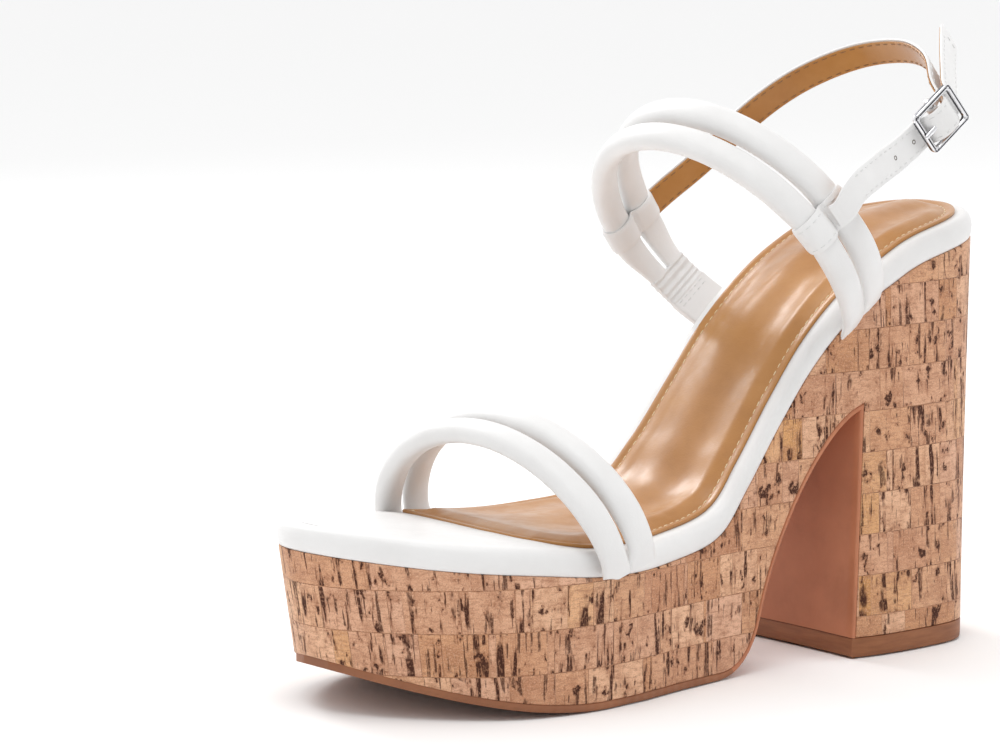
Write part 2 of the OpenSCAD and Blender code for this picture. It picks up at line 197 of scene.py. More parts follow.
# ---------- mesh making ----------
def make(name, shape, body, material, replaces=(), uv=None, sharp=38, weld=0.0):
    """A piece from (points, faces) in millimetres. A piece with no body is left unattached.
    Edges that turn by more than sharp degrees are shaded sharp; points closer than weld mm become one."""
    verts, faces = shape
    mesh = bpy.data.meshes.new(name)
    mesh.from_pydata((np.asarray(verts, float) * MM).tolist(), [], [tuple(int(i) for i in f) for f in faces])
    if uv is not None:
        layer = mesh.uv_layers.new(name="surface")
        uv = np.asarray(uv, float)
        index = np.zeros(len(mesh.loops), np.int32)
        mesh.loops.foreach_get("vertex_index", index)
        layer.data.foreach_set("uv", uv[index].astype(np.float32).ravel())
    bm = bmesh.new()
    bm.from_mesh(mesh)
    if weld:
        bmesh.ops.remove_doubles(bm, verts=bm.verts, dist=weld * MM)
    bmesh.ops.recalc_face_normals(bm, faces=bm.faces)
    for f in bm.faces:
        f.smooth = True
    for e in bm.edges:
        if len(e.link_faces) == 2 and e.calc_face_angle(0) > math.radians(sharp):
            e.smooth = False
    bm.to_mesh(mesh)
    bm.free()
    mesh.materials.append(material)
    piece = bpy.data.objects.new(name, mesh)
    bpy.context.scene.collection.objects.link(piece)
    if body:
        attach(piece, body)
    if replaces:
        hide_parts(*replaces)
    return piece


def skin(rings, closed=True, caps=True):
    """Points and faces over a list of rings that all have the same number of points."""
    m = len(rings[0])
    verts = np.vstack(rings)
    faces = []
    for i in range(len(rings) - 1):
        for j in range(m if closed else m - 1):
            k = (j + 1) % m
            a, b = i * m, (i + 1) * m
            faces.append((a + j, a + k, b + k, b + j))
    if caps:
        faces.append(tuple(reversed(range(m))))
        last = (len(rings) - 1) * m
        faces.append(tuple(last + j for j in range(m)))
    return verts, faces


def joined(parts):
    """Several (points, faces) as one."""
    verts, faces, n = [], [], 0
    for v, f in parts:
        verts.append(np.asarray(v, float))
        faces += [tuple(i + n for i in face) for face in f]
        n += len(v)
    return np.vstack(verts), faces


def stitch_parts(line, normals, length, gap, radius, sink):
    """Separate stitches along a line on a surface, each a short rounded thread lying on it."""
    p = np.asarray(line, float)
    nrm = unit(normals)
    s = lengths(p)
    parts = []
    for c in np.arange(length / 2 + 0.3, s[-1] - length / 2, length + gap):
        along = [c + k * length for k in (-0.5, -0.4, -0.2, 0.2, 0.4, 0.5)]
        size = (0.35, 0.8, 1, 1, 0.8, 0.35)
        rise = (-0.9, -0.2, 0.25, 0.25, -0.2, -0.9)
        rings = []
        for a, w, z in zip(along, size, rise):
            q = at(a, s, p)
            n = unit(at(a, s, nrm))
            e = unit(at(a + 0.4, s, p) - at(a - 0.4, s, p))
            side = unit(np.cross(e, n))
            q = q + n * (radius * z - sink)
            rings.append([q + radius * w * (math.cos(u) * side + math.sin(u) * n)
                          for u in circle(6)])
        parts.append(skin([np.array(r) for r in rings]))
    return parts


# ---------- materials ----------
class Shader:
    """A node material with short calls for the nodes that this object needs."""

    def __init__(self, name, roughness=0.5, metallic=0.0, specular=0.5, coat=0.0, coat_roughness=0.2, sheen=0.0):
        self.material = bpy.data.materials.new(name)
        self.material.use_nodes = True
        self.tree = self.material.node_tree
        self.bsdf = self.tree.nodes["Principled BSDF"]
        self.set("Roughness", roughness)
        self.set("Metallic", metallic)
        self.set("Specular IOR Level", specular)
        self.set("Coat Weight", coat)
        self.set("Coat Roughness", coat_roughness)
        self.set("Sheen Weight", sheen)
        self.coords = self.tree.nodes.new("ShaderNodeTexCoord")
        self.local = self.coords.outputs["Object"]

    def set(self, socket, value):
        self.bsdf.inputs[socket].default_value = value

    def plug(self, value, socket):
        if isinstance(value, bpy.types.NodeSocket):
            self.tree.links.new(value, socket)
        else:
            socket.default_value = value

    def node(self, kind, **inputs):
        node = self.tree.nodes.new("ShaderNode" + kind)
        for name, value in inputs.items():
            self.plug(value, node.inputs[name.replace("_", " ")])
        return node

    def scaled(self, source, scale, offset=None):
        node = self.tree.nodes.new("ShaderNodeMapping")
        self.plug(self.coords.outputs[source] if isinstance(source, str) else source, node.inputs["Vector"])
        node.inputs["Scale"].default_value = scale
        if offset is not None:
            self.plug(offset, node.inputs["Location"])
        return node.outputs["Vector"]

    def noise(self, vector, scale=1.0, detail=2.0, rough=0.5):
        return self.node("TexNoise", Vector=vector, Scale=scale, Detail=detail, Roughness=rough).outputs["Fac"]

    def voronoi(self, vector, scale=1.0, feature="F1", randomness=1.0):
        node = self.node("TexVoronoi", Vector=vector, Scale=scale, Randomness=randomness)
        node.feature = feature
        return node.outputs["Distance"]

    def step(self, value, low, high, to_low=0.0, to_high=1.0):
        node = self.node("MapRange", Value=value, From_Min=low, From_Max=high, To_Min=to_low, To_Max=to_high)
        node.interpolation_type = "SMOOTHSTEP"
        return node.outputs["Result"]

    def math(self, operation, a, b=0.0):
        node = self.tree.nodes.new("ShaderNodeMath")
        node.operation = operation
        self.plug(a, node.inputs[0])
        self.plug(b, node.inputs[1])
        return node.outputs[0]

    def ramp(self, value, stops):
        node = self.tree.nodes.new("ShaderNodeValToRGB")
        self.plug(value, node.inputs["Fac"])
        elements = node.color_ramp.elements
        while len(elements) < len(stops):
            elements.new(0.5)
        for element, (at, colour) in zip(elements, stops):
            element.position = at
            element.color = (*colour, 1)
        return node.outputs["Color"]

    def mix(self, amount, a, b, blend="MIX"):
        node = self.tree.nodes.new("ShaderNodeMix")
        node.data_type = "RGBA"
        node.blend_type = blend
        self.plug(amount, node.inputs["Factor"])
        slots = [i for i in node.inputs if i.type == "RGBA"]
        for value, socket in zip((a, b), slots):
            self.plug((*value, 1) if isinstance(value, tuple) and len(value) == 3 else value, socket)
        return [o for o in node.outputs if o.type == "RGBA"][0]

    def colour(self, value):
        self.plug(value, self.bsdf.inputs["Base Color"])

    def roughness(self, value):
        self.plug(value, self.bsdf.inputs["Roughness"])

    def bump(self, height, strength, distance_mm):
        node = self.node("Bump", Height=height, Strength=strength, Distance=distance_mm * MM)
        self.plug(node.outputs["Normal"], self.bsdf.inputs["Normal"])


def srgb(r, g, b):
    def f(c):
        c = c / 255
        return c / 12.92 if c <= 0.04045 else ((c + 0.055) / 1.055) ** 2.4
    return (f(r), f(g), f(b))


def leather_grain(s, cell_mm):
    """Height of a fine pebbled grain with a few softer creases."""
    fine = s.voronoi(s.local, 1000 / cell_mm, "SMOOTH_F1")
    broad = s.noise(s.local, 160, 4, 0.6)
    return s.math("ADD", s.math("MULTIPLY", fine, 0.8), s.math("MULTIPLY", broad, 0.9))


def leather(name, tone, stops, grain, polish, cell_mm, bump, **look):
    """Leather from tone and grain noises, each (scale, detail, roughness), and polish (low, high) roughness."""
    s = Shader(name, **look)
    s.colour(s.ramp(s.noise(s.local, *tone), stops))
    s.roughness(s.step(s.noise(s.local, *grain), 0.3, 0.7, *polish))
    s.bump(leather_grain(s, cell_mm), *bump)
    return s.material


def plain(name, tone, low, high, height, strength, depth_mm, **look):
    """A two-tone material whose tone and height are functions of its shader."""
    s = Shader(name, **look)
    s.colour(s.ramp(tone(s), [(0.3, low), (0.7, high)]))
    s.bump(height(s), strength, depth_mm)
    return s.material


def thread(name, colour):
    def twist(s):
        return s.noise(s.local, 2600, 2)

    return plain(name, twist, tuple(0.72 * c for c in colour), colour, twist, 0.4, 0.08,
                 roughness=0.55, specular=0.3, sheen=0.2)


def foam(name, low, high):
    return plain(name, lambda s: s.noise(s.local, 70, 4), low, high, lambda s: s.voronoi(s.local, 1400), 0.5, 0.2,
                 roughness=0.85, specular=0.2)


def streaked(scale, detail, rough):
    """A tone drawn out along the axis whose scale is the smallest."""
    return lambda s: s.noise(s.scaled("Object", scale), 1, detail, rough)


def cork():
    """Patches of cork in rows, each with its own tone, upright dark cracks and clustered dark pits.
    The UV map is in centimetres: along the wall and up it."""
    s = Shader("cork_sheet", roughness=0.55, specular=0.3)
    uv = s.coords.outputs["UV"]

    def bricks(width, height, stagger, seed):
        node = s.node("TexBrick", Vector=s.scaled(uv, (1, 1, 1), (seed, 0, 0)), Color1=(0, 0, 0, 1),
                      Color2=(1, 1, 1, 1), Mortar=(0.5, 0.5, 0.5, 1), Scale=1, Mortar_Size=0.014, Mortar_Smooth=0.7,
                      Bias=0, Brick_Width=width, Row_Height=height)
        node.offset, node.offset_frequency = stagger, 2
        node.squash, node.squash_frequency = 1.6, 3
        return node.outputs["Color"], node.outputs["Fac"]

    patch, seam = bricks(1.9, 1.12, 0.37, 0.0)
    patch_b, seam_b = bricks(1.5, 1.12, 0.61, 20.4)
    # every patch reads its own part of the marks, so that they break off at its edges
    jump = s.node("CombineXYZ", X=s.math("MULTIPLY", patch, 17.3), Y=s.math("MULTIPLY", patch_b, 9.1)).outputs[0]

    def streaks(across, up, low, high, detail, shift):
        local = s.scaled(uv, (across, up, 1), jump)
        line = s.noise(s.scaled(local, (1, 1, 1), (shift, shift, shift)), 1.0, detail, 0.6)
        return s.step(line, low, high)

    def areas(scale, low, high, shift):
        local = s.scaled(uv, (1, 1.3, 1), jump)
        return s.step(s.noise(s.scaled(local, (1, 1, 1), (shift, shift, shift)), scale, 3, 0.6), low, high)

    tint = s.math("ADD", s.math("MULTIPLY", patch, 0.62), s.math("MULTIPLY", patch_b, 0.38))
    base = s.ramp(tint, [(0.05, srgb(198, 142, 105)), (0.28, srgb(226, 178, 148)), (0.5, srgb(204, 148, 106)),
                         (0.68, srgb(234, 187, 152)), (0.95, srgb(214, 158, 98))])
    cloud = s.noise(s.scaled(uv, (1, 1, 1), jump), 1.3, 5, 0.65)
    grain = s.noise(s.scaled(uv, (3.2, 11, 1), jump), 1.0, 5, 0.7)
    pale = s.noise(uv, 22, 4, 0.75)
    dust = s.noise(s.scaled(uv, (1, 1, 1), (5, 5, 5)), 30, 4, 0.75)
    for speckle, low, share, tone in ((cloud, 0.4, 0.55, (168, 112, 78)), (grain, 0.46, 0.55, (150, 96, 66)),
                                      (pale, 0.5, 0.65, (232, 192, 160)), (dust, 0.53, 0.75, (120, 72, 48))):
        base = s.mix(s.step(speckle, low, 0.66, 0.0, share), base, srgb(*tone))

    def cracks(low, high):
        return s.math("MULTIPLY", streaks(3.9, 0.42, low, high, 5, 11), areas(0.6, 0.44, 0.5, 15))

    def pits(small, large):
        return s.math("MAXIMUM", streaks(2.7, 1.7, *small, 8, 19), streaks(1.5, 1.1, *large, 10, 31))

    fine = s.math("MULTIPLY", streaks(8.5, 0.5, 0.56, 0.6, 3, 3), areas(0.8, 0.48, 0.54, 7))
    deep = s.math("MAXIMUM", cracks(0.575, 0.61), pits((0.615, 0.64), (0.63, 0.645)))
    marks = s.math("MAXIMUM", s.math("MULTIPLY", fine, 0.85), deep)
    marks = s.math("MULTIPLY", marks, s.step(s.noise(s.scaled(uv, (1, 0.6, 1)), 17, 3, 0.7), 0.36, 0.5, 0.35, 1.0))
    halo = s.math("MAXIMUM", pits((0.56, 0.62), (0.58, 0.63)), cracks(0.53, 0.59))
    base = s.mix(s.math("MULTIPLY", halo, 0.45), base, srgb(140, 82, 50))
    base = s.mix(marks, base, srgb(70, 36, 22))
    edge = s.math("MAXIMUM", seam, s.math("MULTIPLY", seam_b, 0.4))
    base = s.mix(s.math("MULTIPLY", edge, 0.32), base, srgb(130, 82, 56))
    s.colour(base)
    s.roughness(s.step(marks, 0, 1, 0.5, 0.8))
    height = s.math("SUBTRACT", s.math("MULTIPLY", grain, 0.35), s.math("MULTIPLY", marks, 0.9))
    height = s.math("SUBTRACT", height, s.math("MULTIPLY", edge, 0.35))
    s.bump(height, 0.6, 0.35)
    return s.material


def lining_sheet():
    s = Shader("sole_sheet", roughness=0.5, specular=0.3)
    tone = s.noise(s.local, 30, 5, 0.6)
    streak = s.noise(s.scaled("Object", (60, 500, 60)), 1, 4, 0.6)
    base = s.ramp(tone, [(0.3, srgb(180, 114, 82)), (0.7, srgb(196, 130, 96))])
    s.colour(s.mix(s.step(streak, 0.4, 0.75, 0, 0.35), base, srgb(150, 94, 66)))
    s.bump(s.math("ADD", streak, s.voronoi(s.local, 900)), 0.15, 0.1)
    return s.material


def tread():
    s = Shader("tread", roughness=0.6, specular=0.35)
    wave = s.node("TexWave", Vector=s.local, Scale=95, Distortion=0.6)
    wave.wave_type = "BANDS"
    wave.bands_direction = "Y"
    tone = s.noise(s.local, 55, 4)
    base = s.ramp(tone, [(0.3, srgb(132, 84, 58)), (0.7, srgb(158, 104, 72))])
    s.colour(base)
    s.bump(s.math("ADD", wave.outputs["Fac"], s.math("MULTIPLY", s.noise(s.local, 900, 3), 0.4)),
           0.35, 0.4)
    return s.material


def metal(name, colour, roughness):
    s = Shader(name, roughness=roughness, metallic=1.0)
    scratch = s.noise(s.scaled("Object", (300, 2600, 900)), 1, 4, 0.6)
    s.colour(s.ramp(scratch, [(0.2, tuple(0.82 * c for c in colour)), (0.8, colour)]))
    s.roughness(s.step(scratch, 0.3, 0.75, roughness * 0.7, roughness * 1.5))
    s.bump(scratch, 0.05, 0.03)
    return s.material


WHITE = leather("white_leather", (45, 5, 0.6), [(0.3, (0.75, 0.742, 0.735)), (0.7, (0.81, 0.805, 0.8))],
                (300, 3), (0.36, 0.5), 0.55, (0.25, 0.12), roughness=0.42, specular=0.4, sheen=0.05)
TAN = leather("tan_leather", (38, 6, 0.62), [(0.25, srgb(158, 106, 52)), (0.5, srgb(176, 122, 64)),
                                             (0.78, srgb(190, 138, 80))],
              (220, 4), (0.32, 0.46), 0.45, (0.3, 0.1), roughness=0.38, specular=0.35, coat=0.3, coat_roughness=0.24)
CORK = cork()
SHEET = lining_sheet()
TREAD = tread()
_lifts = streaked((90, 90, 700), 4, 0.6)
RUBBER = plain("heel_rubber", _lifts, srgb(128, 78, 48), srgb(156, 100, 64),
               lambda s: s.math("ADD", _lifts(s), s.noise(s.local, 1200, 3)), 0.2, 0.1, roughness=0.5, specular=0.35)
SILVER = metal("buckle_metal", (0.86, 0.86, 0.88), 0.14)
# near-black copy of the buckle metal: painted shade for the frame's groove and lower walls
PAINTED_SHADE_SILVER = metal("buckle_painted_shade", (0.10, 0.10, 0.11), 0.3)
STEEL = metal("zinc_steel", (0.55, 0.56, 0.58), 0.34)
ELASTIC = plain("elastic_cloth", lambda s: s.noise(s.local, 120, 3), (0.70, 0.69, 0.68), (0.80, 0.795, 0.79),
                lambda s: s.voronoi(s.local, 1900, "F1", 0.35), 0.4, 0.15, roughness=0.75, specular=0.25, sheen=0.3)
FOAM = foam("soft_foam", (0.80, 0.77, 0.68), (0.9, 0.88, 0.8))
CORE = foam("moulded_core", (0.62, 0.56, 0.46), (0.74, 0.68, 0.56))
_fibre = streaked((500, 90, 500), 6, 0.7)
BOARD = plain("fibre_board", _fibre, srgb(150, 118, 80), srgb(188, 154, 112), _fibre, 0.4, 0.15,
              roughness=0.8, specular=0.2)
PALE_THREAD = thread("pale_thread", (0.86, 0.72, 0.46))
WHITE_THREAD = thread("white_thread", (0.8, 0.8, 0.79))
BROWN_THREAD = thread("brown_thread", (0.3, 0.15, 0.06))
# near-black: painted shade for the strap's punched holes
HOLE_SHADE = plain("hole_painted_shade", lambda s: s.noise(s.local, 900, 3), (0.10, 0.085, 0.07), (0.2, 0.17, 0.14),
             lambda s: s.noise(s.local, 2500, 3), 0.4, 0.05, roughness=0.7)

# ---------- the sole's shape ----------
HALF = 110.0
OUTLINE_POINTS = [
    (2, HALF), (-7.5, HALF - 1.5), (-16, HALF - 8), (-21.5, HALF - 20), (-23, 68), (-21.4, 42), (-23.2, 12),
    (-32, -18), (-39, -50), (-37.6, -74), (-30.5, -94), (-19.5, -HALF + 4.5), (-6, -HALF - 0.5),
    (9, -HALF + 3.5), (24, -94), (36, -76), (41, -56), (40, -36), (34, -10), (30, 15),
    (29.5, 41), (30, 66), (28, 87), (22.5, 100), (12.5, HALF - 2)]
TOP_POINTS = [
    (-HALF - 6, 42.8), (-HALF, 41.9), (-88, 38.7), (-66, 36.5), (-44, 34.2), (-22, 34.4), (0, 38.2),
    (12, 50), (24.2, 66), (36, 80.5), (49.6, 92.5), (64, 100.8), (79.3, 106.7), (HALF, 112), (HALF + 6, 112.5)]
HEEL_H, HEEL_LEAN, HEEL_FLARE = 112.0, 6.6, 0.11
TOE_LEAN, TOE_WALL, TOE_TOP = 5.0, 29.0, 42.0
TREAD_T, SHEET_T, LIFT_T = 2.0, 1.3, 5.5
APEX = np.array([51.8, 67.5])
BREAST_FOOT = np.array([48.4, 0.0])
BREAST_LEAN = (APEX[0] - BREAST_FOOT[0]) / APEX[1]

_dense = closed_curve(OUTLINE_POINTS, 40)
_dense = np.roll(_dense, -int(np.argmax(_dense[:, 1])), axis=0)
_toe = int(np.argmin(_dense[:, 1]))
MEDIAL_LINE = _dense[:_toe + 1]
LATERAL_LINE = np.vstack([_dense[_toe:], _dense[:1]])[::-1]


def paired_ring(medial, lateral, n):
    """A closed counter-clockwise ring whose point j lies opposite point 2n - j."""
    m = resample(medial, n + 1)
    l = resample(lateral, n + 1)
    return np.vstack([m, l[1:-1][::-1]])


def opposite(ring):
    return ring[(-np.arange(len(ring))) % len(ring)]


def medial_x(y):
    return np.interp(y, MEDIAL_LINE[::-1, 1], MEDIAL_LINE[::-1, 0])


def lateral_x(y):
    return np.interp(y, LATERAL_LINE[::-1, 1], LATERAL_LINE[::-1, 0])


_top = open_curve(TOP_POINTS, 12)


def top_z(y):
    return np.interp(y, _top[:, 0], _top[:, 1])


def wall(x, y, z):
    """A point of the upright outline, moved to where the leaning and flaring wall is at that height."""
    low = 1 - z / HEEL_H
    return np.stack([
        x * (1 + HEEL_FLARE * smooth((y - 30) / 30) * low),
        y - HEEL_LEAN * smooth((y - 85) / 25) * low + TOE_LEAN * smooth((-60 - y) / 50)
        * np.maximum(0, TOE_TOP - z) / TOE_WALL, z], axis=-1)


def on_wall(x, y, height):
    """The wall point over (x, y) whose own height is height(its y)."""
    z = height(y)
    for _ in range(5):
        p = wall(x, y, z)
        z = height(p[..., 1])
    return wall(x, y, z)


_arch = np.vstack([
    [(y, 13.6 * ((y + 45) / 65) ** 2) for y in np.arange(-116, -45, 2.0)], [(-45, 0), (-30, 0), (-15, 0)],
    bezier((1, 0), (9, 0), (15, 5.5), (17.5, 15.5), 8), bezier((17.5, 15.5), (22, 33), (38.8, 62.5), APEX, 40)[1:]])
_sheet_t = TREAD_T + (SHEET_T - TREAD_T) * smooth((_arch[:, 0] + 4) / 20)
_at = line_tangent(_arch)
_arch_in = _arch + _sheet_t[:, None] * np.column_stack([-_at[:, 1], _at[:, 0]])
_arch_in[-1] = APEX + SHEET_T * np.array([1.08, 1.5])
SPLIT_Y = _arch_in[-1, 0]


def arch_in_z(y):
    return np.interp(y, _arch_in[:, 0], _arch_in[:, 1])


def breast_in_y(z):
    """Where the cork's front edge on the heel is, at a height."""
    return np.where(z < APEX[1], BREAST_FOOT[0] + BREAST_LEAN * z + SHEET_T, SPLIT_Y)


# ---------- the cork sheet ----------
def cork_sheet():
    t = 1.2
    ring = paired_ring(MEDIAL_LINE, LATERAL_LINE, 300)
    nrm = ring_normal(ring)
    s = lengths(ring)
    # rows: share of the height, millimetres off it, inset
    rows = [(0, 0, t), (0, 0, 0.35), (0, 0.12, 0.1), (0, 0.4, 0)]
    rows += [(k / 10, 0, 0) for k in range(1, 10)]
    rows += [(1, -0.4, 0), (1, -0.1, 0.12), (1, 0, 0.35), (1, 0, t)]

    # the platform's part, from the medial side round the toe to the lateral side
    index = [i for i in range(len(ring)) if ring[i, 1] < SPLIT_Y - 0.2]
    px = np.concatenate([[medial_x(SPLIT_Y)], ring[index, 0], [lateral_x(SPLIT_Y)]])
    py = np.concatenate([[SPLIT_Y], ring[index, 1], [SPLIT_Y]])
    pn = np.vstack([nrm[index[0]], nrm[index], nrm[index[-1]]])
    ps = np.concatenate([[s[index[0]] - (SPLIT_Y - ring[index[0], 1])], s[index],
                         [s[index[-1]] + (SPLIT_Y - ring[index[-1], 1])]])
    rings, uvs = [], []
    for share, off, inset in rows:
        x, y = px + pn[:, 0] * inset, py + pn[:, 1] * inset
        low = on_wall(x, y, arch_in_z)[:, 2]
        high = on_wall(x, y, top_z)[:, 2]
        z = low + share * (high - low) + off
        p = wall(x, y, z)
        rings.append(p)
        uvs.append(np.column_stack([ps / 10, p[:, 2] / 10]))
    platform = skin(rings, closed=False, caps=False)
    platform_uv = np.vstack(uvs)

    # the heel's part, from the lateral side round the back to the medial side
    n = 240
    rings, uvs = [], []
    total = s[-1] + np.linalg.norm(ring[0] - ring[-1])
    s2 = np.concatenate([s, [total]])
    closed = np.vstack([ring, ring[:1]])
    closed_n = np.vstack([nrm, nrm[:1]])

    med_y, med_s = MEDIAL_LINE[:, 1], lengths(MEDIAL_LINE)
    lat_y, lat_s = LATERAL_LINE[:, 1], lengths(LATERAL_LINE)
    u = np.linspace(0, 1, n + 1)
    for share, off, inset in rows:
        z = np.full(n + 1, 50.0)
        for _ in range(8):
            front = breast_in_y(z)
            s_med = np.interp(-front, -med_y, med_s)
            s_lat = total - np.interp(-front, -lat_y, lat_s)
            sv = s_lat + (s_med + total - s_lat) * u
            turn = np.mod(sv, total)
            x, y = (at(turn, s2, closed) + unit(at(turn, s2, closed_n)) * inset).T
            high = on_wall(x, y, top_z)[:, 2]
            z = LIFT_T + share * (high - LIFT_T) + off
        rings.append(wall(x, y, z))
        uvs.append(np.column_stack([(sv - total * (sv > total)) / 10, z / 10]))
    # returns along the breast, so that the sheet's own edge shows
    for k, (r, uv) in enumerate(zip(rings, uvs)):
        rings[k] = np.vstack([r[0] - [t, 0, 0], r, r[-1] + [t, 0, 0]])
        uvs[k] = np.vstack([uv[0] - [t / 10, 0], uv, uv[-1] + [t / 10, 0]])
    both = joined([platform, skin(rings, closed=False, caps=False)])
    make("cork_sheet", both, "root", CORK, ["cork_wrap"], uv=np.vstack([platform_uv, *uvs]), sharp=50)


def sole_sheet():
    """The outsole's tread, which carries on up the arch and down the front of the heel as a thin sheet."""
    path = [p for p in _arch if p[0] > -109]
    inner = [p for p, q in zip(_arch_in, _arch) if q[0] > -109]
    breast_z = np.linspace(APEX[1], LIFT_T, 40)[1:]
    breast = [np.array([BREAST_FOOT[0] + BREAST_LEAN * z, z]) for z in breast_z]
    breast_in = [np.array([b[0] + SHEET_T, min(b[1], APEX[1] - 0.5)]) for b in breast]
    n_arch = len(path)
    outer = np.array(path + breast)
    inner = np.array(inner + breast_in)
    across = np.linspace(-1, 1, 21)
    rings = []
    bow = np.concatenate([np.zeros(n_arch), smooth((APEX[1] - breast_z) / 14)])

    def row(p, widen, bend):
        y, z = p
        # the upright outline's y whose leaning wall passes through this y and z
        yo = y
        for _ in range(6):
            yo = yo - (wall(0.0, yo, z)[1] - y)
        yo = min(max(yo, -109.9), 109.9)
        xm = wall(medial_x(yo), yo, z)[0] - widen
        xl = wall(lateral_x(yo), yo, z)[0] + widen
        x = (xm + xl) / 2 + across * (xl - xm) / 2
        rim_y = np.linspace(-109.9, -80, 120)
        rim = np.vstack([wall(medial_x(rim_y), rim_y, np.full(120, 11.5))[::-1],
                         wall(lateral_x(rim_y), rim_y, np.full(120, 11.5))])
        rim = rim[np.argsort(rim[:, 0])]
        held = np.maximum(y, np.interp(x, rim[:, 0], rim[:, 1]) + 0.5) if y < -60 else np.full(len(x), y)
        lift = np.interp(held, _arch[:, 0], _arch[:, 1]) - np.interp(y, _arch[:, 0], _arch[:, 1])
        return np.column_stack([x, held + bend * (1 - across ** 2), z + lift * (y < -60)])

    for k, (o, i) in enumerate(zip(outer, inner)):
        low, high = (row(o + (i - o) * share, 0.12, 0) for share in (0.25, 0.75))
        rings.append(np.vstack([row(o, -0.25, bow[k] * 0.9), low[-1:], high[-1:], row(i, -0.3, bow[k] * 0.9)[::-1],
                                high[:1], low[:1]]))
    piece = make("sole_sheet", skin(rings), "root", SHEET, ["outsole"], sharp=50)
    piece.data.materials.append(TREAD)
    centres = np.array([p.center for p in piece.data.polygons])
    tread_faces = (centres[:, 1] < 6 * MM) & (centres[:, 2] < 14.5 * MM)
    piece.data.polygons.foreach_set("material_index", tread_faces.astype(np.int32))


def heel_top_piece():
    rings = []
    for z, inset in ((0, 0.9), (0.12, 0.35), (0.5, 0.05), (2, 0), (4.9, 0), (5.3, 0.08), (5.45, 0.4)):
        front = BREAST_FOOT[0] + BREAST_LEAN * z + inset
        med = MEDIAL_LINE[MEDIAL_LINE[:, 1] > front]
        lat = LATERAL_LINE[LATERAL_LINE[:, 1] > front]
        med = resample(np.vstack([med, [[medial_x(front), front]]]), 90)
        lat = resample(np.vstack([lat, [[lateral_x(front), front]]]), 90)
        bottom = np.linspace(med[-1], lat[-1], 16)[1:-1]
        bottom[:, 1] += 0.9 * (1 - np.linspace(-1, 1, 16)[1:-1] ** 2)
        ring = np.vstack([med, bottom, lat[::-1][:-1]])
        nrm = ring_normal(ring)
        nrm[90:90 + 14] = (0, 1)
        p = ring + nrm * inset
        rings.append(wall(p[:, 0], p[:, 1], np.full(len(p), float(z))))
    make("heel_top_piece", skin(rings), "root", RUBBER, ["heel_lift"], sharp=40)


# ---------- the footbed ----------
COVER_H = 7.0
SOCK_INSET = 4.4


def lifted(ring, nrm, rows):
    """Rings at each (inset, height above the footbed's own line)."""
    rings = []
    for inset, rise in rows:
        p = ring + nrm * inset
        rings.append(np.column_stack([p, top_z(p[:, 1]) + rise]))
    return rings


def spokes(ring, height, count):
    """Rings from a paired ring in to its middle line, each at height(x, y)."""
    middle = (ring + opposite(ring)) / 2
    rings = []
    for k in range(1, count + 1):
        p = ring * (1 - k / count) + middle * (k / count)
        rings.append(np.column_stack([p, height(p[:, 0], p[:, 1])]))
    return rings


def edge_share(ring, x, y, reach):
    """How far inside the ring points are: 0 at its edge, 1 from reach millimetres in."""
    q = np.column_stack([x, y])
    best = np.full(len(q), 1e9)
    for i in range(0, len(ring), 2):
        d = np.hypot(q[:, 0] - ring[i, 0], q[:, 1] - ring[i, 1])
        best = np.minimum(best, d)
    return np.clip(best / reach, 0, 1)


def footbed_cover():
    ring = paired_ring(MEDIAL_LINE, LATERAL_LINE, 230)

    def height(x, y):
        share = edge_share(ring, x, y, 16)
        toe = smooth((-52 - y) / 12)
        waves = 0.15 * wobble(x * 0.11 + y * 0.05, 3) * share * toe
        return top_z(y) + COVER_H + (0.25 + 0.5 * toe) * smooth(share) - waves

    edge = [(2.4, -0.2), (0.9, 0.0), (0.3, 0.15), (0.02, 0.7), (-0.18, 1.8), (-0.22, 3.2), (-0.05, 4.5), (0.45, 5.7),
            (1.2, 6.45), (2.2, 6.85), (3.3, 6.98), (4.4, 7.0)]
    nrm = ring_normal(ring)
    shape = skin(lifted(ring, nrm, edge) + spokes(ring + nrm * edge[-1][0], height, 12), caps=False)
    make("footbed_cover", shape, "root", WHITE, ["rim_cover"], weld=0.02, sharp=60)


def sock_ring():
    """The lining's outline as a paired ring, from the back of the heel to the middle of its front edge."""
    front = np.array([(60, -46), (37, -49), (32, -54), (22, -58), (4, -58), (-13, -56.5), (-25, -55.5), (-33, -54.5),
                      (-60, -53)], float)[::-1]
    ring = paired_ring(MEDIAL_LINE, LATERAL_LINE, 260)
    ring = ring + ring_normal(ring) * SOCK_INSET
    n = 260
    medial, lateral = ring[:n + 1], np.vstack([ring[:1], ring[n + 1:][::-1], ring[n:n + 1]])

    def cut(side):
        keep = [p for p in side if p[1] > np.interp(p[0], front[:, 0], front[:, 1])]
        return np.array(keep)

    medial, lateral = cut(medial), cut(lateral)
    mid = (medial[-1, 0] + lateral[-1, 0]) / 2
    xm = np.linspace(medial[-1, 0], mid, 40)[1:]
    xl = np.linspace(lateral[-1, 0], mid, 40)[1:]
    medial = np.vstack([medial, np.column_stack([xm, np.interp(xm, front[:, 0], front[:, 1])])])
    lateral = np.vstack([lateral, np.column_stack([xl, np.interp(xl, front[:, 0], front[:, 1])])])
    medial, lateral = relaxed(medial, 2), relaxed(lateral, 2)
    return paired_ring(medial, lateral, 240)


SOCK = sock_ring()
SEAM_IN = 2.8


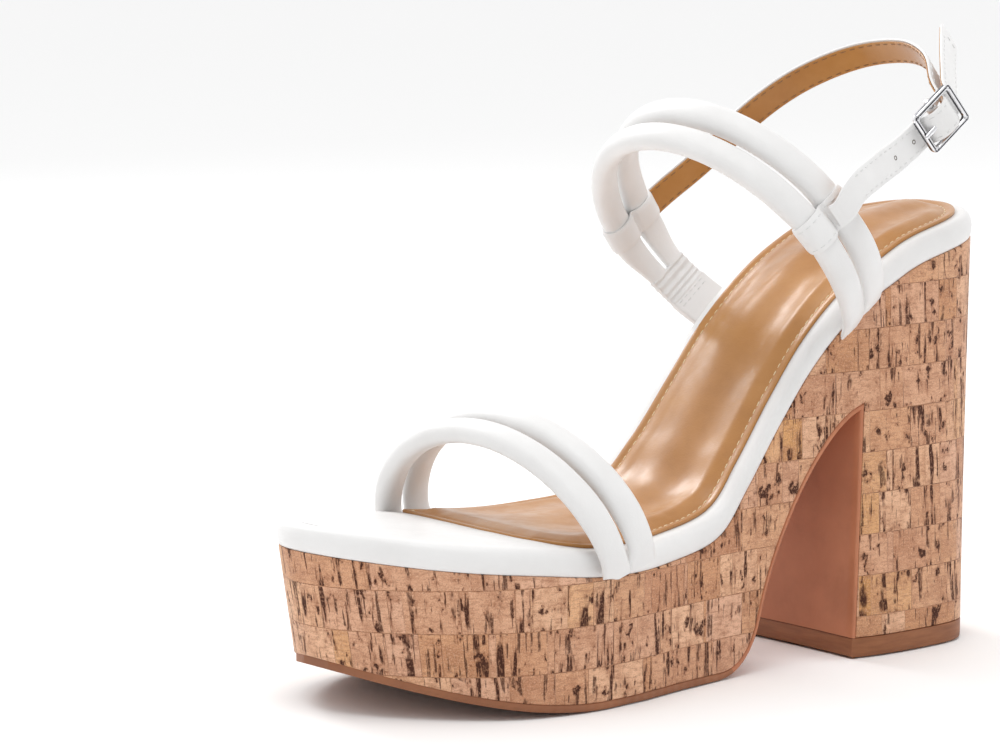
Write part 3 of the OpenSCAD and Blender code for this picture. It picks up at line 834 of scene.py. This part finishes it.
def sock_height(x, y):
    """Top of the lining: a sewn groove near its edge and soft ridges that run lengthwise inside it."""
    d = edge_share(SOCK, x, y, 12) * 12
    along = smooth((y + 52) / 18) * smooth((104 - y) / 12)
    puff = 1.3 * smooth((d - SEAM_IN) / 5.0)
    groove = -0.5 * np.exp(-((d - SEAM_IN) / 0.7) ** 2)
    half = (lateral_x(y) - medial_x(y)) / 2
    share = (x - (medial_x(y) + lateral_x(y)) / 2) / half
    ridges = np.cos(share * 7.4 + 0.9 + 0.35 * np.sin(y * 0.055))
    wave = 0.8 * ridges * smooth((d - SEAM_IN - 0.5) / 5) * along
    crease = 0.12 * wobble(y * 0.12 + share * 1.5, 5) * smooth((d - SEAM_IN) / 6)
    return top_z(y) + COVER_H + 1.0 + puff + groove + wave + crease


def sock():
    nrm = ring_normal(SOCK)
    rings = lifted(SOCK, nrm, [(0.35, 7.0), (0.05, 7.2), (0.0, 7.55), (0.12, 7.85), (0.4, 8.0)])
    for inset in (0.9, 1.5, 2.1, 2.6, 3.0, 3.4, 3.9, 4.6, 5.4, 6.3):
        p = SOCK + nrm * inset
        rings.append(np.column_stack([p, sock_height(p[:, 0], p[:, 1])]))
    rings += spokes(p, sock_height, 20)
    make("sock_cover", skin(rings, caps=False), "root", TAN, ["sock_lining"], weld=0.02, sharp=60)
    line = SOCK + nrm * SEAM_IN
    line = np.vstack([line, line[:1]])
    path = np.column_stack([line, sock_height(line[:, 0], line[:, 1])])
    parts = stitch_parts(path, np.tile([0.0, -0.1, 1.0], (len(path), 1)), 1.7, 0.75, 0.17, 0.0)
    make("sock_stitches", joined(parts), "root", PALE_THREAD)


def foam_pad():
    ring = paired_ring(MEDIAL_LINE, LATERAL_LINE, 120)
    ring = ring + ring_normal(ring) * 3.4
    nrm = ring_normal(ring)
    under = spokes(ring + nrm * 0.6, lambda x, y: top_z(y) + 2.1, 6)
    edge = lifted(ring, nrm, ((0.6, 2.1), (0, 2.4), (0, 5.2), (0.6, 5.8), (1.5, 6)))
    over = spokes(ring + nrm * 1.5, lambda x, y: top_z(y) + 6, 6)
    piece = make("foam_pad", skin(under[::-1] + edge + over, caps=False), "root", FOAM, ["footbed_padding"],
                 weld=0.02)


# ---------- arched tubes ----------
VAMP = (1.2, -43.5, 35.8, 15, 43.5, 30.1, 4.3, 96, -97, 0, 1.9)
INSTEP = (1, 48.4, 93.2, 36.9, 39.6, 40.1, 4.8, 128.4, -112.5, 0.26, 0)
TUBE_A, TUBE_B, TUBE_OFF = 4.2, 2.95, 4.95
PAIR_HALF = 9.55
LATERAL_KEEPER, MEDIAL_KEEPER = 75, -87


class Arch:
    def __init__(self, a):
        cx, by, bz, lean, self.half, self.rise, turn, self.first, self.last, self.taper, self.peak = a
        lean, turn = math.radians(lean), math.radians(turn)
        self.up = np.array([0, -math.sin(lean), math.cos(lean)])
        self.side = np.array([math.cos(turn), math.sin(turn), 0])
        self.across = unit(np.cross(self.up, self.side))
        self.at0 = np.array([cx, by, bz])
        self.base = -self.rise * math.cos(math.radians(self.first))

    def point(self, t):
        t = np.radians(t)
        height = self.base + self.rise * math.cos(t) + self.peak * max(math.cos(t), 0) ** 3
        return self.at0 + self.half * math.sin(t) * self.side + height * self.up

    def out(self, t):
        t = np.radians(t)
        steep = self.rise + 3 * self.peak * max(math.cos(t), 0) ** 2
        return unit(steep * math.sin(t) * self.side + self.half * math.cos(t) * self.up)

    def narrow(self, t):
        return 1 - self.taper * float(smooth((self.last + 20 - t) / 20))

    def depth(self, t):
        edge = min(self.first - t, t - self.last)
        return TUBE_B * (0.5 + 0.5 * float(smooth(edge / 36)))


def loop_section(centre, across, out, w, h, power, count):
    x, y = superellipse(count, power, power)
    return centre + np.outer(w * x, across) + np.outer(h * y, out)


def pinch(arch, t):
    """How much a tube is squeezed by the keepers at an angle, from 0 to 1."""
    if arch.taper == 0:
        return 0.0
    return max(math.exp(-((t - LATERAL_KEEPER) / 8) ** 2), math.exp(-((t - MEDIAL_KEEPER) / 7) ** 2))


def tube(name, arch, sign, replaced, filler_replaced, seed):
    """One padded tube of a pair, flattened and tucked in where it ends under the edge of the footbed."""
    count = 120
    radius = (arch.half + arch.rise) / 2
    rings, cores = [], []
    for i in range(count + 1):
        t = arch.first + (arch.last - arch.first) * i / count
        squeeze = pinch(arch, t)
        k = arch.narrow(t)
        left = radius * math.radians(arch.first - t)
        right = radius * math.radians(t - arch.last) if arch.taper == 0 else 99.0
        tuck = 1 - float(smooth(min(left, right) / 7.0))
        apart = math.sin(math.pi * i / count) ** 0.5
        off = (TUBE_OFF + 0.12 * apart * (1 - squeeze) - 0.35 * squeeze - 0.5 * tuck) * k
        a = (TUBE_A + 0.7 * tuck + 0.1 * squeeze) * k
        b = arch.depth(t) * (1.04 - 0.08 * squeeze) * (1 - 0.2 * tuck)
        centre = arch.point(t) + sign * off * arch.across - 0.5 * tuck * arch.out(t)
        section = loop_section(np.zeros(3), arch.across, arch.out(t), a, b, 0.88, 32)
        u = circle(len(section))
        near_end = math.exp(-min(left, right) / 6)
        ripple = 0.05 * wobble(u * 2 + i * 0.12, seed) + 0.14 * (near_end + squeeze) * np.sin(u * 8 + seed)
        ring = centre + section * (1 + ripple / 4)[:, None]
        # the end is turned under along the footbed's lower edge
        low = top_z(ring[:, 1]) + 0.1 + 0.2 * np.sin(u * 3 + seed)
        ring[:, 2] = np.maximum(ring[:, 2], low)
        rings.append(ring)
        cores.append(centre + section * 0.72)
    cover = make(name, skin(rings), "root", WHITE, [replaced], sharp=70)
    filler = skin([c[::2] for c in cores[2:-2:3]])
    core = make(name + "_fill", filler, "root", FOAM, [filler_replaced], sharp=70)


# ---------- keepers, gore and tab ----------
def pair_profile(arch, t, extra):
    """Outline round both tubes, extra outside them, which dips into the valley between them."""
    a, b = TUBE_A + extra, arch.depth(t) + extra
    round_tube = np.radians(np.linspace(-126, 126, 41))
    x = TUBE_OFF - 0.35 + a * np.cos(round_tube)
    y = b * np.sin(round_tube)
    valley = np.linspace(1, -1, 11)[1:-1]
    bridge_x = x[-1] * valley
    bridge_y = b * 0.5 + (y[-1] - b * 0.5) * smooth(np.abs(valley))
    return (np.concatenate([x, bridge_x, -x[::-1], -bridge_x]),
            np.concatenate([y, bridge_y, y[::-1], -bridge_y]))


def keeper(name, centre_t, span, replaced):
    """A thin leather band pulled tight round both tubes, so that it dips between them."""
    arch = Arch(INSTEP)
    outer, inner = [], []
    rows = 17
    for i in range(rows):
        f = 2 * i / (rows - 1) - 1
        t = centre_t - span * f
        lip = 1 - 0.45 * abs(f) ** 6
        c, a, o = arch.point(t), arch.across, arch.out(t)
        for rings, extra in ((outer, 0.3 + 0.85 * lip), (inner, 0.18)):
            x, y = pair_profile(arch, t, extra)
            rings.append(c + np.outer(x, a) + np.outer(y, o))
    rings = outer + inner[::-1] + outer[:1]
    make(name, skin(rings, caps=False), "root", WHITE, [replaced], weld=0.005, sharp=50)
    parts = []
    for f in (-0.72, 0.72):
        t = centre_t - span * f
        x, y = pair_profile(arch, t, 1.12)
        c, a, o = arch.point(t), arch.across, arch.out(t)
        keep = y > 0.2
        line = (c + np.outer(x, a) + np.outer(y, o))[keep]
        line = line[np.argsort(x[keep])]
        parts += stitch_parts(line, np.tile(o, (len(line), 1)), 1.7, 0.8, 0.14, 0.02)
    make(name + "_stitches", joined(parts), "root", WHITE_THREAD)


def band(arch, t0, t1, half_w, half_h, rows, wave=lambda f: 0):
    """A flat band along the arch from one angle to another, thicker by the share wave(f) gives."""
    rings = []
    for f in np.arange(rows + 1) / rows:
        t = t0 + (t1 - t0) * f
        rings.append(loop_section(arch.point(t), arch.across, arch.out(t), half_w, half_h * (1 + wave(f)), 0.35, 40))
    return skin(rings)


def gore_and_tab():
    """The gathered elastic at the inner end of the instep tubes, and the smooth tab that holds it."""
    arch = Arch(INSTEP)
    half_w = PAIR_HALF * (1 - arch.taper)
    gathered = band(arch, -111.6, -124.4, half_w - 0.2, 1.25, 72,
                    lambda f: 0.2 * math.sin(f * 4.5 * 2 * math.pi + 0.9 * math.sin(f * 9)))
    make("elastic_band", gathered, "root", ELASTIC, ["elastic_gore"], sharp=80)
    tab = band(arch, -123.6, -137.3, half_w + 0.1, 1.35, 16)
    make("elastic_tab", tab, "root", WHITE, ["gore_tab"], sharp=60)
    parts = []
    for t in (-124.7, -126.6):
        o = arch.out(t)
        for face in (1, -1):
            line = np.array([arch.point(t) + w * arch.across + face * 1.38 * o
                             for w in np.linspace(-half_w + 1, half_w - 1, 30)])
            parts += stitch_parts(line, np.tile(face * o, (len(line), 1)), 1.6, 0.7, 0.14, 0.02)
    make("tab_stitches", joined(parts), "root", WHITE_THREAD)


# ---------- ankle strap ----------
LOOP_UP = np.array([0, -0.6, 0.8])
ANKLE_W = 8.4
STRAP_T = 2.0
OUTER_T, INNER_T = 0.85, 0.5
STRAP_DOME = 0.14
SLING_ROUTE = [
    (-44.4, 31, 112.3), (-44.4, 40.5, 118), (-43.0, 45.5, 122.2), (-38.4, 52.7, 129.1), (-33.5, 60, 137.3),
    (-28.8, 66.8, 144.8), (-23.2, 75.5, 152), (-15.4, 83, 157.3), (-6, 88, 160.6), (6.9, 89.3, 161.8),
    (17, 86.2, 160.6), (25, 82.4, 158)]
BILLET_ROUTE = [(43.9, 36.2, 129.4), (41, 45.4, 132.9), (37.2, 56.4, 136.3)]
TAIL_ROUTE = [(34.6, 78.3, 152.1), (28.9, 83.4, 155.5), (20.5, 91.2, 160.1), (11.5, 99.9, 165.3)]
BUCKLE = np.array([40.2, 71.3, 146.2])
SLOPE, TURN = math.radians(39), math.radians(85)


def turned(v):
    x, y, z = v[0], -v[2], v[1]
    x, z = x * math.cos(SLOPE) - z * math.sin(SLOPE), x * math.sin(SLOPE) + z * math.cos(SLOPE)
    return np.array([x * math.cos(TURN) - y * math.sin(TURN), x * math.sin(TURN) + y * math.cos(TURN), z])


BX, BY, BZ = turned((1, 0, 0)), turned((0, 1, 0)), turned((0, 0, 1))


def in_buckle(points):
    """Points given in the buckle's own frame, as points of the shoe."""
    p = np.asarray(points, float)
    return BUCKLE + np.outer(p[:, 0], BX) + np.outer(p[:, 1], BY) + np.outer(p[:, 2], BZ)


def from_buckle(v):
    return in_buckle([v])[0]


def hoop(radius, y, count):
    """A ring round the buckle's centre bar."""
    u = circle(count)
    return in_buckle(np.column_stack([radius * np.cos(u), np.full(count, y), BAR_Z + radius * np.sin(u)]))


BAR_Z, BAR_R, LOOP_T = -1.2, 0.75, 0.9
UNDER_Z = -0.8 - 0.85 - STRAP_T
OVER_Z = BAR_Z + BAR_R + 0.05 + LOOP_T + 0.3


def strap_route(points, count, rounds):
    dense = open_curve(points, 16)
    return relaxed(resample(dense, count), rounds)


def strap_frames(route, up):
    t = line_tangent(route)
    out = unit(np.cross(t, up))
    side = unit(np.cross(out, t))
    return out, side


def flat_strap(route, up, width, z0, z1, round_by, root=1.0):
    """A flat strap along a route, a little domed over its width, whose first end is root times as wide."""
    out, side = strap_frames(route, up)
    s = lengths(route)
    rings = []
    across, up_and_down = superellipse(28, 0.2, 0.45)
    for i in range(len(route)):
        w = width / 2 * (root + (1 - root) * float(smooth(s[i] / 9)))
        z = (z0 + z1) / 2 + up_and_down * (z1 - z0) / 2 + round_by * (1 - across ** 2)
        rings.append(route[i] + np.outer(across * w, side[i]) + np.outer(z, out[i]))
    return skin(rings)


def strap_stitches(route, up, width, z, face, inset=1.0, start=0.0, stop=1.0, radius=0.16, pitch=1.9):
    out, side = strap_frames(route, up)
    n = len(route)
    a, b = int(start * (n - 1)), int(stop * (n - 1)) + 1
    parts = []
    for k in (-1, 1):
        line = route + side * k * (width / 2 - inset) + out * z
        parts += stitch_parts(line[a:b], (out * face)[a:b], pitch, pitch * 0.48, radius, 0.02)
    return parts


def rooted(name, shape, roots, material, replaces=()):
    """A piece of the strap, made with no body and baked where it stands."""
    piece = make(name, shape, None, material, replaces, sharp=60 if replaces else 38)
    start, end = ([float(c) * MM for c in p] for p in roots)
    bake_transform(piece)


def sling():
    end = [from_buckle((9, 1.2, -10.4)), from_buckle((6.5, 0, -6.3))]
    route = strap_route([tuple(p) for p in SLING_ROUTE + end], 170, 24)[::-1]
    roots = (SLING_ROUTE[0], SLING_ROUTE[3])
    outer = flat_strap(route, LOOP_UP, ANKLE_W, 0.0, OUTER_T, STRAP_DOME)
    rooted("sling_outer", outer, roots, WHITE, ["sling_strap"])
    inner = flat_strap(route, LOOP_UP, ANKLE_W - 0.9, -INNER_T, 0.02, STRAP_DOME)
    rooted("sling_inner", inner, roots, TAN, ["sling_lining"])
    parts = strap_stitches(route, LOOP_UP, ANKLE_W, -INNER_T + 0.03, -1, 1.2, 0.03, 0.97)
    rooted("sling_inner_stitches", joined(parts), roots, BROWN_THREAD)
    parts = strap_stitches(route, LOOP_UP, ANKLE_W, OUTER_T + 0.06, 1, 1.1, 0.03, 0.97)
    rooted("sling_outer_stitches", joined(parts), roots, WHITE_THREAD)


THREADED = [
    (-9.5, 0, UNDER_Z), (-7, 0, UNDER_Z), (-5, 0, UNDER_Z + 0.5), (-2.5, 0, OVER_Z - 0.5), (0, 0, OVER_Z),
    (2.5, 0, OVER_Z - 0.5), (5, 0, UNDER_Z + 0.5), (7, 0, UNDER_Z)]
BILLET_Z = 0.35


BILLET_TOP = BILLET_Z + INNER_T + OUTER_T


def billet():
    arch = Arch(INSTEP)
    at, out_at = arch.point(LATERAL_KEEPER), arch.out(LATERAL_KEEPER)
    root = [at + 1.4 * arch.across + 2.9 * out_at, at + 3.6 * arch.across + 4.6 * out_at]
    points = root + BILLET_ROUTE + [from_buckle(p) for p in THREADED] + TAIL_ROUTE
    route = strap_route([tuple(p) for p in points], 210, 4)
    roots = (root[1], BILLET_ROUTE[1])
    outer = flat_strap(route, BY, ANKLE_W, BILLET_Z + INNER_T, BILLET_TOP, STRAP_DOME, root=0.85)
    rooted("billet_outer", outer, roots, WHITE, ["billet_strap"])
    inner = flat_strap(route, BY, ANKLE_W - 1.1, BILLET_Z, BILLET_Z + INNER_T + 0.02, STRAP_DOME, root=0.85)
    rooted("billet_inner", inner, roots, TAN, ["billet_lining"])
    parts = strap_stitches(route, BY, ANKLE_W, BILLET_Z + 0.03, -1, 1.2, 0.12, 0.97)
    rooted("billet_inner_stitches", joined(parts), roots, BROWN_THREAD)
    parts = strap_stitches(route, BY, ANKLE_W, BILLET_TOP + 0.06, 1, 1.1, 0.1, 0.97)
    # one more row runs across the tail, near its end
    out, side = strap_frames(route, BY)
    i = int(0.97 * (len(route) - 1))
    line = np.array([route[i] + side[i] * w + out[i] * (BILLET_TOP + 0.12)
                     for w in np.linspace(-ANKLE_W / 2 + 1.1, ANKLE_W / 2 - 1.1, 12)])
    parts += stitch_parts(line, np.tile(out[i], (len(line), 1)), 1.7, 0.85, 0.16, 0.02)
    rooted("billet_outer_stitches", joined(parts), roots, WHITE_THREAD)
    return route


def billet_holes(route):
    out, side = strap_frames(route, BY)
    for k, x in enumerate((-9.8, -19.5)):
        i = int(np.argmin(np.linalg.norm(route - from_buckle((x, 0, 0)), axis=1)))
        u = circle(20)
        e = unit(np.cross(side[i], out[i]))
        # each hole is a small dark disc lying on the strap: painted shade where the hole is
        rings = [route[i] + out[i] * (BILLET_TOP + z) + np.outer(r * np.cos(u), side[i]) + np.outer(r * np.sin(u), e)
                 for r, z in ((0.66, -0.2), (0.66, 0.1), (0.6, 0.17), (0.5, 0.17), (0.4, 0.1), (0.3, -0.05))]
        rooted("billet_hole_%d" % (k + 1), skin(rings), BILLET_ROUTE[:2], HOLE_SHADE)


# ---------- buckle ----------
def rounded_rect(length, width, r, per=7):
    pts = []
    for cx, cy, a0 in ((1, 1, 0), (-1, 1, 90), (-1, -1, 180), (1, -1, 270)):
        for a in np.radians(np.linspace(a0, a0 + 90, per)):
            pts.append((cx * (length / 2 - r) + r * math.cos(a), cy * (width / 2 - r) + r * math.sin(a)))
    return np.array(pts)


FRAME_L, WIRE = 15.4, 1.6
FRAME_IN_W = ANKLE_W + 1.4
FRAME_W = FRAME_IN_W + 2 * WIRE


def buckle_frame():
    # the wire's section, (millimetres in from the outside edge, height), with a step between two bright lines
    section = [(0.28, -0.8), (0.06, -0.66), (0, -0.45), (0, 0.30), (0.10, 0.55), (0.34, 0.72), (0.52, 0.74),
               (0.62, 0.60), (0.80, 0.58), (0.92, 0.80), (1.26, 0.78), (1.52, 0.55), (1.6, 0.3), (1.6, -0.45),
               (1.54, -0.66), (1.32, -0.8)]
    rings = []
    for inset, z in section:
        r = max(2.0 - inset * 0.75, 0.8)
        ring = rounded_rect(FRAME_L - 2 * inset, FRAME_W - 2 * inset, r)
        rings.append(in_buckle(np.column_stack([ring, np.full(len(ring), z)])))
    parts = [skin(rings + rings[:1], caps=False)]
    half = (FRAME_IN_W + WIRE) / 2
    end = [(half + 0.55, 0.5), (half + 0.5, 0.66), (half + 0.35, BAR_R)]
    parts.append(skin([hoop(r, -y, 28) for y, r in end] + [hoop(r, y, 28) for y, r in end[::-1]]))
    for y in (-half, half):
        block = []
        for z, g in ((-2.1, 0.8), (-2.0, 0.95), (-0.4, 1.0), (-0.3, 1.0)):
            q = rounded_rect(1.9 * g, 1.5 * g, 0.35, 4)
            block.append(in_buckle(np.column_stack([q[:, 0], q[:, 1] + y, np.full(len(q), z)])))
        parts.append(skin(block))
    piece = make("buckle_metal_frame", joined(parts), "buckle_frame", SILVER, ["buckle_frame"],
                 weld=0.002, sharp=35)
    # the sunk groove round the top and the lower walls get a near-black copy of the metal: painted shade
    piece.data.materials.append(PAINTED_SHADE_SILVER)
    for face in piece.data.polygons:
        c = np.array(face.center) / MM - BUCKLE
        x, y, z = abs(float(c @ BX)), abs(float(c @ BY)), float(c @ BZ)
        inset = min(FRAME_L / 2 - x, FRAME_W / 2 - y)
        if z > 0.5 and 0.5 < inset < 0.88 or -0.6 < z < 0.25 and (inset < 0.1 or inset > 1.5) and inset < 1.8:
            face.material_index = 1


def buckle_prong():
    route = np.array([(-0.9, 0, -0.5), (-1.6, 0, 0.1), (-2.6, 0, 0.85), (-3.8, 0, 1.25), (-5.2, 0, 1.4),
                      (-6.6, 0, 1.38), (-7.7, 0, 1.42), (-8.15, 0, 1.62)])
    route = resample(open_curve(route, 8), 40)
    t = line_tangent(route)
    rings = []
    for i, (p, e) in enumerate(zip(route, t)):
        out = unit(np.cross(e, (0, 1, 0)))
        f = i / (len(route) - 1)
        w, h = 0.92 - 0.32 * f, 0.58 - 0.16 * f
        if f > 0.93:
            w, h = (v * (1 - 0.75 * ((f - 0.93) / 0.07) ** 2) for v in (w, h))
        u = circle(16)
        rings.append(in_buckle(p + np.outer(w * np.cos(u), (0, 1, 0)) + np.outer(h * np.sin(u), out)))
    parts = [skin(rings)]
    eye = [hoop(r, y, 36) for r, y in ((1.5, -0.7), (1.5, 0.7), (1.4, 0.88), (0.95, 0.88), (0.81, 0.8), (0.81, -0.8),
                                       (0.95, -0.88), (1.4, -0.88))]
    parts.append(skin(eye + eye[:1], caps=False))
    make("buckle_pin", joined(parts), "buckle_prong", SILVER, ["buckle_prong"], weld=0.002, sharp=45)


def chape():
    """The sling's end, folded round the centre bar in two loops with the prong's eye between them."""
    u = np.radians(np.linspace(50, 330, 40))
    r = BAR_R + 0.08 + 0.42
    fold = [(r * math.cos(a), BAR_Z + r * math.sin(a)) for a in u]
    tail = [(2.6, -3.6), (4.2, -4.5), (6.4, -4.95)]
    line = resample(np.array(fold + tail), 70)
    t = line_tangent(line)
    nrm = np.column_stack([-t[:, 1], t[:, 0]])
    loops = []
    for y0, y1 in ((-ANKLE_W / 2 + 0.1, -1.35), (1.35, ANKLE_W / 2 - 0.1)):
        rings = []
        for p, n in zip(line, nrm):
            q = rounded_rect(y1 - y0, 0.84, 0.3, 4)
            rings.append(in_buckle(np.column_stack([p[0] + n[0] * q[:, 1], (y0 + y1) / 2 + q[:, 0],
                                                    p[1] + n[1] * q[:, 1]])))
        loops.append(skin(rings))
    make("buckle_leather_loop", joined(loops), "ankle_strap", WHITE, ["buckle_chape"], sharp=50)


# ---------- everything ----------
CARRIED = {"platform_core": CORE, "heel_block": CORE, "lift_pins": STEEL, "insole_board": BOARD,
           "steel_shank": STEEL, "shank_rivets": STEEL, "heel_screw": STEEL, "heel_nails": STEEL}
for name, material in CARRIED.items():
    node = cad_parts[name]
    node.data.materials.clear()
    node.data.materials.append(material)

cork_sheet()
sole_sheet()
heel_top_piece()
footbed_cover()
sock()
foam_pad()
seed = 0
for place, cad, arch in (("toe", "vamp", Arch(VAMP)), ("instep", "instep", Arch(INSTEP))):
    for end, sign in (("front", -1), ("rear", 1)):
        seed += 1
        tube("%s_tube_%s" % (place, end), arch, sign, "%s_strap_%s" % (cad, end), "%s_filler_%s" % (cad, end), seed)
keeper("outer_keeper", LATERAL_KEEPER, 6, "lateral_keeper")
keeper("inner_keeper", MEDIAL_KEEPER, 5.5, "medial_keeper")
gore_and_tab()
sling()
billet_line = billet()
billet_holes(billet_line)
buckle_frame()
buckle_prong()
chape()

bpy.ops.mesh.primitive_plane_add(size=8, location=(0, 0, -0.0003))
floor = bpy.context.object
floor.name = "floor"
floor_shader = Shader("floor_paper", roughness=0.8, specular=0.15)
floor_shader.set("Base Color", (PAPER_GREY, PAPER_GREY, PAPER_GREY, 1))
floor.data.materials.append(floor_shader.material)

add_camera()
add_world(BACKDROP, FRONT_FILL)
add_area("key", (0.25, -0.2, 1.3), size=0.8, power=5.2)
add_area("back", (-0.94, 0.05, 0.75), size=0.45, power=4.5)
bpy.context.scene.view_settings.view_transform = "Standard"
